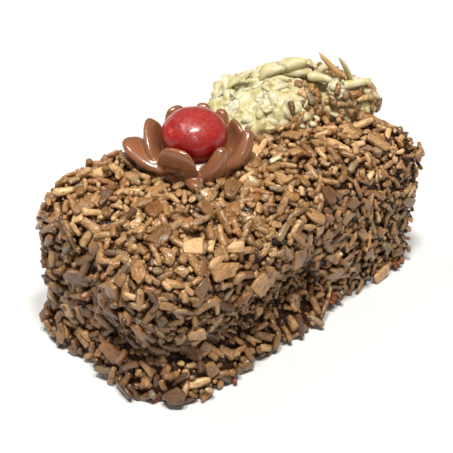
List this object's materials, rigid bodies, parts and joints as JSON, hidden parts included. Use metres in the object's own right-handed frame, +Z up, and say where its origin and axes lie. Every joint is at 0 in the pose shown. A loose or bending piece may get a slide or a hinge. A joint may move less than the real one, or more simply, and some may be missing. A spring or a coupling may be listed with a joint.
{
  "type": "chocolate cake slice",
  "caption": "Soft-edged slab of chocolate cake coated in chocolate flakes, topped with a fudge rosette holding a candied cherry and a mound of grated coconut.",
  "frame": {"origin": "middle of the slab's flat underside, on the surface it stands on", "axes": "+Z up out of the iced top, +X along the slab's length from the cherry's end to the coconut's end, -Y out of the front long side, the one whose lower part is hollowed"},
  "size_m": [0.1091, 0.0615, 0.0644],
  "materials": {
    "cake": "rough milk-chocolate flakes over dark ganache",
    "rosette": "glossy piped fudge",
    "cherry": "glossy candied fruit",
    "coconut": "moist grated coconut"
  },
  "bodies": {
    "root": {"cake": "cake", "rosette": "rosette", "cherry": "cherry", "coconut": "coconut"}
  },
  "joints": []
}
